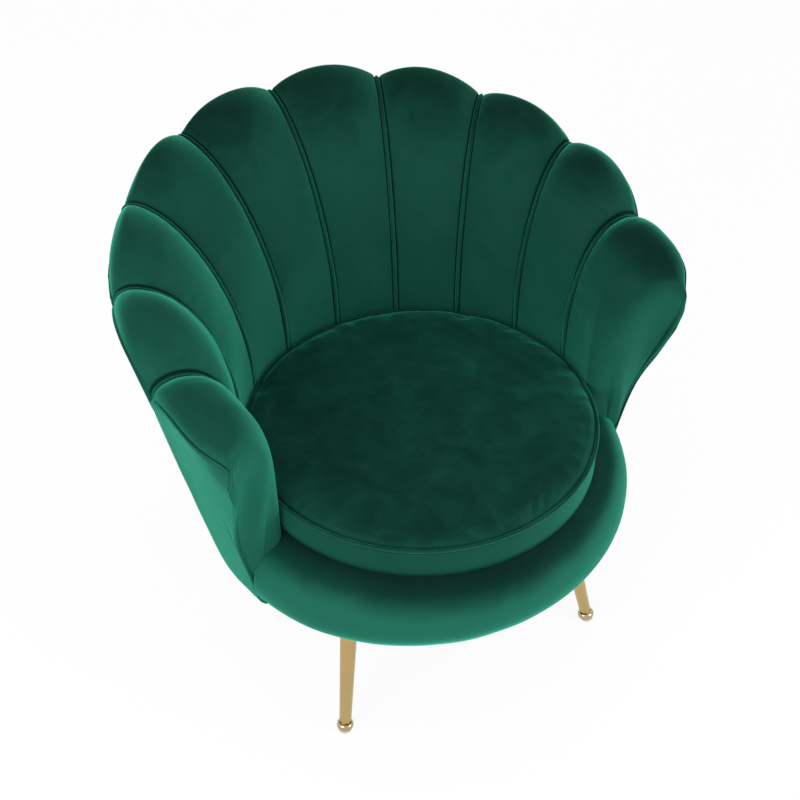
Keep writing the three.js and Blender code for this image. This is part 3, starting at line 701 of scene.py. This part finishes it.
class CHAIR_OT_studio(Operator):
    """Set the floor, the lamps, the white surroundings and the camera"""

    bl_idname = "chair.studio"
    bl_label = "Studio"

    def execute(self, context):
        scene = context.scene
        scene.view_settings.view_transform = "Standard"
        studio = studio_settings()
        self.world(scene, studio)
        self.floor(studio)
        self.lamp("key_lamp", (-2.9, -1.3, 1.7), 2.2, studio.key)
        self.lamp("fill_lamp", (1.9, -2.8, 1.2), 2.2, studio.fill)
        self.lamp("top_lamp", (0.0, 0.2, 3.2), 2.4, studio.top)
        self.camera(scene)
        return {"FINISHED"}

    def seeing(self, tree):
        """1 for rays that see the surroundings, 0 for those that light the chair."""
        rays = add_node(tree, "ShaderNodeLightPath").outputs
        seen = calculate(tree, "MAXIMUM", rays["Is Camera Ray"], rays["Is Glossy Ray"])
        return calculate(tree, "MAXIMUM", seen, rays["Is Transmission Ray"])

    def world(self, scene, studio):
        world = bpy.data.worlds.new("pale_room")
        scene.world = world
        world.use_nodes = True
        tree = world.node_tree
        tree.nodes.clear()
        strength = stretch(tree, self.seeing(tree), 0.0, 1.0, studio.air, 1.0)
        light = add_node(tree, "ShaderNodeBackground", {"Color": (1, 1, 1, 1), "Strength": strength})
        tree.links.new(light.outputs[0], add_node(tree, "ShaderNodeOutputWorld").inputs["Surface"])

    def floor(self, studio):
        bm = bmesh.new()
        bmesh.ops.create_grid(bm, x_segments=1, y_segments=1, size=9)
        floor = bm_piece("floor", bm)
        material, tree = blank_material("pale_floor")
        matt = add_node(tree, "ShaderNodeBsdfDiffuse", {"Color": rgba(studio.floor)})
        glow = add_node(tree, "ShaderNodeEmission", {"Color": (1, 1, 1, 1), "Strength": 1.115})
        share = calculate(tree, "MULTIPLY", self.seeing(tree), 0.82)
        surface(tree, add_node(tree, "ShaderNodeMixShader",
                               {0: share, 1: matt.outputs[0], 2: glow.outputs[0]}))
        floor.data.materials.append(material)

    def lamp(self, name, place, size, power):
        data = bpy.data.lights.new(name, "AREA")
        data.shape = "DISK"
        data.size = size
        data.energy = power
        lamp = link_piece(name, data)
        lamp.location = place
        aim = Vector(place) - Vector((0, seat_axis.y, 0.42))
        lamp.rotation_euler = aim.to_track_quat("Z", "Y").to_euler()

    def camera(self, scene):
        data = bpy.data.cameras.new("photo_camera")
        data.lens = 72.9986
        data.sensor_width = 36
        data.shift_x = -0.0265
        data.shift_y = 0.0253
        camera = link_piece("photo_camera", data)
        across = Vector((0, 0, 1)).cross(PHOTO_BACKWARD).normalized()
        upright = PHOTO_BACKWARD.cross(across)
        turned = Matrix((across, upright, PHOTO_BACKWARD)).transposed().to_4x4()
        camera.matrix_world = Matrix.Translation(PHOTO_PLACE) @ turned
        scene.camera = camera


class CHAIR_OT_channels(Operator):
    """Pad the ten channels of the back and the arm fronts"""

    bl_idname = "chair.channels"
    bl_label = "Channels"

    def execute(self, context):
        for side in SIDES:
            for number in CHANNELS:
                self.channel(side, number)
            self.foot_wrap(side)
        return {"FINISHED"}

    def foot_wrap(self, side):
        """Velvet pulled over the foot of the arm's post, which shows between cushion and roll."""
        bm = merged_copy(f"arm_post_{side}")
        for height, up in zip(POST_FOOT, (-1, 1)):
            cut = bmesh.ops.bisect_plane(bm, geom=bm.verts[:] + bm.edges[:] + bm.faces[:],
                                         plane_co=(0, 0, height), plane_no=(0, 0, up), clear_outer=True)
            rim = [item for item in cut["geom_cut"] if isinstance(item, bmesh.types.BMEdge)]
            bmesh.ops.holes_fill(bm, edges=rim)
        bmesh.ops.recalc_face_normals(bm, faces=bm.faces)
        bm.normal_update()
        for vertex, normal in [(vertex, vertex.normal.copy()) for vertex in bm.verts]:
            vertex.co += normal * 0.0004
        finish_piece(bm_piece(f"{side}_post_foot_velvet", bm), "chair", "velvet", back_velvet())

    def channel(self, side, number):
        node = f"channel_pad_{side}_{number}"
        bm = merged_copy(node)
        caps = seam_caps(bm)
        seams = cap_seams(caps)
        join_quads(bm, caps)
        crease(bm, cap_rims(bm, seam_caps(bm)))
        piece = smooth_over(f"{side}_channel_{number}_velvet", bm, shape_settings().smoothness)
        soften(piece, lambda point: point.z > CREST_START and off_seam(point, seams) > 0.004, 10)
        if number == CHANNELS[-1]:
            soften(piece, lambda point: point.z > ROLL_TOP and abs(seam_angle(point)) > ARM_FRONT, 120)
            soften(piece, lambda point: point.z > ROLL_TOP - 0.003 and abs(seam_angle(point)) > ARM_SIDE, 30)
        plump(piece, seams)
        ease_corners(piece)
        finish_piece(piece, "chair", "velvet", back_velvet(), node)


class CHAIR_OT_welts(Operator):
    """Sew a welt into each seam between two channels"""

    bl_idname = "chair.welts"
    bl_label = "Seam welts"

    def execute(self, context):
        self.welt("centre_seam_welt", "channel_pad_left_1", min)
        for side in SIDES:
            for number in CHANNELS[:-1]:
                self.welt(f"{side}_seam_{number}_welt", f"channel_pad_{side}_{number}", max)
        return {"FINISHED"}

    def welt(self, name, node, which):
        form = shape_settings()
        bm = merged_copy(node)
        caps = seam_caps(bm)
        wanted = which(abs(seam_angle(face.calc_center_median())) for face in caps)
        end = [face for face in caps if abs(abs(seam_angle(face.calc_center_median())) - wanted) < 0.05]
        path = front_path(ordered_path(cap_rims(bm, end)))
        bm.free()
        points, radii = [], []
        sideways = Vector((0, 0, 1)).cross(outward(path[-1]))
        for index, point in enumerate(path):
            before, after = path[max(0, index - 1)], path[min(len(path) - 1, index + 1)]
            along = (after - before).normalized()
            out = along.cross(sideways)
            rise = smoothstep(0.425, 0.47, point.z) * smoothstep(0.0, 0.018, (point - path[-1]).length)
            points.append(point + out * (rise * (form.welt_lift + 0.002) - 0.002))
            radii.append(form.welt * (0.5 + 0.5 * rise) if index > len(path) / 2 else form.welt)
        piece = tube_piece(name, points, radii)
        finish_piece(piece, "chair", "velvet", back_velvet())


class CHAIR_OT_outer_cover(Operator):
    """Stretch the outer cover round the back and fold its edge"""

    bl_idname = "chair.outer_cover"
    bl_label = "Outer cover"

    def execute(self, context):
        bm = merged_copy("outer_back_cover")
        join_quads(bm, [])
        bm.normal_update()
        sharp = [edge for edge in bm.edges if len(edge.link_faces) == 2
                 and edge.calc_face_angle() > math.radians(48)]
        crease(bm, sharp, 0.9)
        rim = self.dense(ordered_path([edge for edge in sharp if self.outermost(edge)]))
        piece = smooth_over("outer_cover_velvet", bm, 2)
        self.lip(piece, rim)
        plump(piece, [], 0.7)
        ease_corners(piece)
        self.fold(piece, rim)
        finish_piece(piece, "chair", "velvet", back_velvet(), "outer_back_cover")
        return {"FINISHED"}

    def outermost(self, edge):
        """Whether an edge bounds the cover's outside at its top or at an arm front."""
        middle = (edge.verts[0].co + edge.verts[1].co) / 2
        return middle.z > 0.25 and any(face.normal.dot(outward(middle)) > 0.6 for face in edge.link_faces)

    def dense(self, path):
        """The path with points no further apart than a fold's small bend."""
        points = []
        for start, end in zip(path, path[1:]):
            pieces = max(1, round((end - start).length / 0.007))
            points += [start.lerp(end, step / pieces) for step in range(pieces)]
        return points

    def lip(self, piece, rim):
        """Pads the cover's edge out where it passes the outer channels."""
        edge = KDTree(len(rim))
        for index, point in enumerate(rim):
            edge.insert(point, index)
        edge.balance()
        moves = []
        for vertex in piece.data.vertices:
            turned = abs(seam_angle(vertex.co))
            way = outward(vertex.co)
            below = edge.find(vertex.co)[2]
            beside = smoothstep(0.7, 1.3, turned) * (1 - smoothstep(1.45, 1.68, turned))
            outside = vertex.normal.dot(way) > 0
            moves.append(way * (0.004 * outside * beside * bell(below, 0.006, 0.024)))
        move_points(piece, moves)

    def fold(self, piece, rim):
        """The folded edge of the cover, along its top and down both arm fronts."""
        form = shape_settings()
        cover = BVHTree.FromPolygons([vertex.co for vertex in piece.data.vertices],
                                     [polygon.vertices for polygon in piece.data.polygons])
        path = [cover.find_nearest(point)[0] for point in rim]
        path = [point + (Vector((0, seat_axis.y, point.z)) - point).normalized() * form.fold * 0.5
                for point in path]
        finish_piece(tube_piece("outer_cover_fold", path, [form.fold] * len(path)), "chair", "velvet",
                     back_velvet())


class CHAIR_OT_seat_roll(Operator):
    """Pad the roll round the front of the base"""

    bl_idname = "chair.seat_roll"
    bl_label = "Seat roll"

    def execute(self, context):
        bm = merged_copy("front_seat_roll")
        caps = seam_caps(bm)
        join_quads(bm, caps)
        crease(bm, cap_rims(bm, seam_caps(bm)))
        piece = smooth_over("front_roll_velvet", bm, shape_settings().smoothness)
        plump(piece, [], 1.3)
        # Painted shade where the cushion sits on the roll, partly standing for nap crushed there.
        mark_painted_shade(piece, [0.8 * bell(radius_of(vertex.co), cushion_radius, 0.020)
                           for vertex in piece.data.vertices])
        finish_piece(piece, "chair", "velvet", roll_velvet(), "front_seat_roll")
        return {"FINISHED"}


class CHAIR_OT_cushion(Operator):
    """Blow up the loose seat cushion and sew its piping on"""

    bl_idname = "chair.cushion"
    bl_label = "Seat cushion"

    def execute(self, context):
        self.cushion()
        self.piping()
        return {"FINISHED"}

    def cushion(self):
        form = shape_settings()
        low = cushion_low.z + 0.0015
        pipe_low, pipe_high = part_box("seat_cushion_piping")
        edge = (pipe_low.z + pipe_high.z) / 2
        wide = cushion_radius - 0.004
        profile = [(0, low), (wide * 0.5, low), (wide - 0.012, low), (wide - 0.001, low + 0.001),
                   (wide, low + 0.008), (wide + 0.001, (low + edge) / 2), (wide, edge - 0.006),
                   (wide - 0.003, edge), (wide - 0.014, edge + 0.0035), (wide * 0.75, edge + 0.0085),
                   (wide * 0.45, edge + 0.0125), (0, edge + 0.0145)]
        piece = bm_piece("seat_cushion_velvet", spun(profile, 96, seat_axis))
        remesh = piece.modifiers.new("Even mesh", "REMESH")
        remesh.mode = "VOXEL"
        remesh.voxel_size = form.voxel
        apply_modifiers(piece)
        self.inflate(piece, form.swell)
        add_rounding(piece, 1)
        apply_modifiers(piece)
        shade_marks = []
        inner = (pipe_high.x - pipe_low.x) / 2 - (pipe_high.z - pipe_low.z)
        for vertex in piece.data.vertices:
            point = vertex.co
            top = smoothstep(edge - 0.004, edge + 0.004, point.z)
            dent = 0.0012 * lumps(point, 0.07, 1.7) + 0.0005 * lumps(point, 0.02, 5.2)
            # sewn is the groove beside the piping and painted shade in it; below is painted shade just under
            # the piping; the last term is painted shade along the bottom edge, where the cushion sits on the
            # roll.
            sewn = top * bell(radius_of(point), inner, 0.0022)
            point.z = max(low, point.z + top * dent - form.groove * 0.5 * sewn)
            below = (radius_of(point) > inner - 0.004) * bell(point.z, pipe_low.z - 0.0010, 0.0014)
            shade_marks.append(0.9 * sewn + 0.8 * below + 0.9 * bell(point.z, low, 0.007))
        piece.data.update()
        mark_painted_shade(piece, shade_marks)
        finish_piece(piece, "cushion", "seat_velvet", seat_velvet(), "seat_cushion")

    def inflate(self, piece, most):
        """Pressure inside the sewn case swells it, and no point moves further than most."""
        scene = bpy.context.scene
        rest = [vertex.co.copy() for vertex in piece.data.vertices]
        cloth = piece.modifiers.new("Filling", "CLOTH")
        cloth.settings.use_pressure = True
        cloth.settings.uniform_pressure_force = 4
        cloth.settings.effector_weights.gravity = 0
        cloth.point_cache.frame_start = 1
        cloth.point_cache.frame_end = 20
        for step in range(1, 21):
            scene.frame_set(step)
        swollen = evaluated_mesh(piece)
        places = [vertex.co.copy() for vertex in swollen.vertices]
        piece.modifiers.clear()
        bpy.data.meshes.remove(swollen)
        scene.frame_set(1)
        sides = [radius_of(end) - radius_of(start) for start, end in zip(rest, places)
                 if radius_of(start) > cushion_radius - 0.006]
        slack = sum(sides) / len(sides)
        for vertex, start, end in zip(piece.data.vertices, rest, places):
            move = end - start
            if move.length > most:
                move *= most / move.length
            move.z *= smoothstep(cushion_low.z, cushion_low.z + 0.02, start.z)
            point = start + move
            reach = max(radius_of(point), 0.0001)
            filled = reach - slack * smoothstep(cushion_radius * 0.6, cushion_radius * 0.97, radius_of(start))
            share = min(filled, cushion_radius - 0.0008) / reach
            vertex.co = (seat_axis.x + (point.x - seat_axis.x) * share,
                         seat_axis.y + (point.y - seat_axis.y) * share, point.z)
        piece.data.update()

    def piping(self):
        low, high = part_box("seat_cushion_piping")
        thick = (high.z - low.z) / 2
        middle = (high.x - low.x) / 2 - thick
        profile = [(middle + thick * math.cos(turn * math.tau / 12), (low.z + high.z) / 2
                    + thick * math.sin(turn * math.tau / 12)) for turn in range(12)]
        piece = bm_piece("seat_piping_velvet", spun(profile, 240, seat_axis))
        for vertex in piece.data.vertices:
            vertex.co.z += 0.0004 * lumps(vertex.co, 0.05, 2.2)
        finish_piece(piece, "cushion", "seat_velvet", seat_velvet(), "seat_cushion_piping")


class CHAIR_OT_deck(Operator):
    """Cover the deck that the cushion lies on"""

    bl_idname = "chair.deck"
    bl_label = "Deck"

    def execute(self, context):
        low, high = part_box("deck_pad")
        wide = (high.x - low.x) / 2
        edge = 0.006
        profile = [(0, low.z), (wide * 0.6, low.z), (wide - edge, low.z),
                   (wide - edge * 0.3, low.z + edge * 0.3), (wide, low.z + edge), (wide, high.z - edge),
                   (wide - edge * 0.3, high.z - edge * 0.3), (wide - edge, high.z), (wide * 0.8, high.z),
                   (wide * 0.5, high.z), (wide * 0.2, high.z), (0, high.z)]
        bm = spun(profile, 72, seat_axis)
        piece = bm_piece("deck_wadding", bm)
        add_rounding(piece, 1)
        apply_modifiers(piece)
        for vertex in piece.data.vertices:
            vertex.co.z -= 0.0008 * (0.5 + 0.5 * lumps(vertex.co, 0.04, 6.1))
        finish_piece(piece, "chair", "deck_foam",
                     woven("wadding_cloth", (0.70, 0.64, 0.48), (0.80, 0.75, 0.58), 420.0), "deck_pad")
        self.well_edge(wide - 0.0012, cushion_radius + 0.004, high.z - 0.0010, high.z + 0.0003)
        return {"FINISHED"}

    def well_edge(self, inner, outer, low, top):
        """A flat strip of velvet that closes the gap between the deck and the foot of the back."""
        side = Vector((math.sin(-WELL_END), math.cos(-WELL_END), 0))
        bm = bmesh.new()
        corners = [bm.verts.new(seat_axis + side * radius + Vector((0, 0, height)))
                   for radius, height in ((inner, low), (outer, low), (outer, top), (inner, top))]
        ring = [bm.edges.new((corners[turn - 1], corners[turn])) for turn in range(4)]
        bmesh.ops.spin(bm, geom=corners + ring, cent=seat_axis, axis=(0, 0, -1), dvec=(0, 0, 0),
                       angle=2 * WELL_END, steps=120, use_merge=False)
        bmesh.ops.holes_fill(bm, edges=[edge for edge in bm.edges if len(edge.link_faces) == 1])
        bmesh.ops.recalc_face_normals(bm, faces=bm.faces)
        piece = bm_piece("well_edge_velvet", bm)
        finish_piece(piece, "chair", "velvet", back_velvet())


class CHAIR_OT_legs(Operator):
    """Turn the tapered legs, their ball feet and glides"""

    bl_idname = "chair.legs"
    bl_label = "Legs"

    def execute(self, context):
        for leg in LEGS:
            self.leg(leg)
            self.ball(leg)
            self.glide(leg)
        return {"FINISHED"}

    def ring(self, node, top):
        """Middle and radius of a leg's top or bottom end."""
        points = [vertex.co for vertex in frame["nodes"][node].data.vertices]
        level = max(point.z for point in points) if top else min(point.z for point in points)
        ring = [point for point in points if abs(point.z - level) < 0.0002]
        low = Vector((min(point.x for point in ring), min(point.y for point in ring), level))
        high = Vector((max(point.x for point in ring), max(point.y for point in ring), level))
        return (low + high) / 2, (high.x - low.x) / 2

    def leg(self, leg):
        node = f"{leg}_leg"
        foot, narrow = self.ring(node, False)
        head, wide = self.ring(node, True)
        bm = bmesh.new()
        bmesh.ops.create_cone(bm, cap_ends=True, cap_tris=False, segments=64, radius1=narrow, radius2=wide,
                              depth=head.z - foot.z)
        ends = [edge for edge in bm.edges if abs(edge.verts[0].co.z - edge.verts[1].co.z) < 0.001]
        bmesh.ops.bevel(bm, geom=ends, offset=0.0009, offset_type="OFFSET", affect="EDGES", segments=3,
                        profile=0.5, material=-1)
        slant = (head - foot) / (head.z - foot.z)
        middle = (head + foot) / 2
        lean = Matrix(((1, 0, slant.x, middle.x), (0, 1, slant.y, middle.y), (0, 0, 1, middle.z),
                       (0, 0, 0, 1)))
        bmesh.ops.transform(bm, matrix=lean, verts=bm.verts)
        finish_piece(bm_piece(f"{leg}_tapered_leg", bm), "chair", "brushed_gold", brushed_gold(), node)

    def ball(self, leg):
        node = f"{leg}_ball_foot"
        low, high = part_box(node)
        middle = (low + high) / 2
        wide = (high.x - low.x) / 2
        tall = (high.z - low.z) / 2
        profile = [(0, low.z)]
        for step in range(19):
            height = -math.cos(math.pi * step / 18)
            round_share = 0.6 + 0.4 * math.sqrt(max(0, 1 - height * height))
            profile.append((wide * round_share, middle.z + tall * height))
        profile.append((0, high.z))
        finish_piece(bm_piece(f"{leg}_polished_ball", spun(profile, 64, middle)), "chair", "polished_gold",
                     polished_gold(), node)

    def glide(self, leg):
        node = f"{leg}_glide"
        low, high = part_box(node)
        middle = (low + high) / 2
        wide = (high.x - low.x) / 2
        edge = 0.0006
        profile = [(0, low.z), (wide - edge, low.z), (wide, low.z + edge), (wide, high.z - edge),
                   (wide - edge, high.z), (0, high.z)]
        finish_piece(bm_piece(f"{leg}_nylon_glide", spun(profile, 48, middle)), "chair", "nylon",
                     moulded_nylon(), node)


class CHAIR_OT_insides(Operator):
    """Give the frame under the cloth its wood, webbing, lining and steel"""

    bl_idname = "chair.insides"
    bl_label = "Frame inside"

    def execute(self, context):
        finishes = {
            "plywood": birch_plywood(),
            "webbing": woven("elastic_webbing", (0.050, 0.044, 0.036), (0.110, 0.098, 0.082), 700.0),
            "lining": woven("dust_lining", (0.0090, 0.0090, 0.0095), (0.0200, 0.0200, 0.0210), 1200.0, 0.95),
            "zinc_steel": zinc_steel(),
        }
        for part in frame["record"]["subparts"]:
            if part["material_slot"] in finishes:
                node = frame["nodes"][part["node"]]
                if not node.material_slots:
                    node.data.materials.append(None)
                for slot in node.material_slots:
                    slot.material = finishes[part["material_slot"]]
        return {"FINISHED"}


class CHAIR_PT_sidebar(Panel):
    bl_idname = "CHAIR_PT_sidebar"
    bl_label = "Scallop back chair"
    bl_space_type = "VIEW_3D"
    bl_region_type = "UI"
    bl_category = "Chair"

    def draw(self, context):
        for group in (context.scene.chair_velvet, context.scene.chair_shape, context.scene.chair_studio):
            box = self.layout.box()
            for name in group.__annotations__:
                box.prop(group, name)
        for operator in OPERATORS:
            self.layout.operator(operator.bl_idname)


GROUPS = (VelvetSettings, ShapeSettings, StudioSettings)
OPERATORS = (CHAIR_OT_studio, CHAIR_OT_channels, CHAIR_OT_welts, CHAIR_OT_outer_cover, CHAIR_OT_seat_roll,
             CHAIR_OT_cushion, CHAIR_OT_deck, CHAIR_OT_legs, CHAIR_OT_insides)


def register():
    for item in (*GROUPS, *OPERATORS, CHAIR_PT_sidebar):
        bpy.utils.register_class(item)
    bpy.types.Scene.chair_velvet = PointerProperty(type=VelvetSettings)
    bpy.types.Scene.chair_shape = PointerProperty(type=ShapeSettings)
    bpy.types.Scene.chair_studio = PointerProperty(type=StudioSettings)


def unregister():
    del bpy.types.Scene.chair_studio
    del bpy.types.Scene.chair_shape
    del bpy.types.Scene.chair_velvet
    for item in reversed((*GROUPS, *OPERATORS, CHAIR_PT_sidebar)):
        bpy.utils.unregister_class(item)


def main():
    register()
    bpy.ops.chair.studio()
    bpy.ops.chair.channels()
    bpy.ops.chair.welts()
    bpy.ops.chair.outer_cover()
    bpy.ops.chair.seat_roll()
    bpy.ops.chair.cushion()
    bpy.ops.chair.deck()
    bpy.ops.chair.legs()
    bpy.ops.chair.insides()


if __name__ == "__main__":
    main()
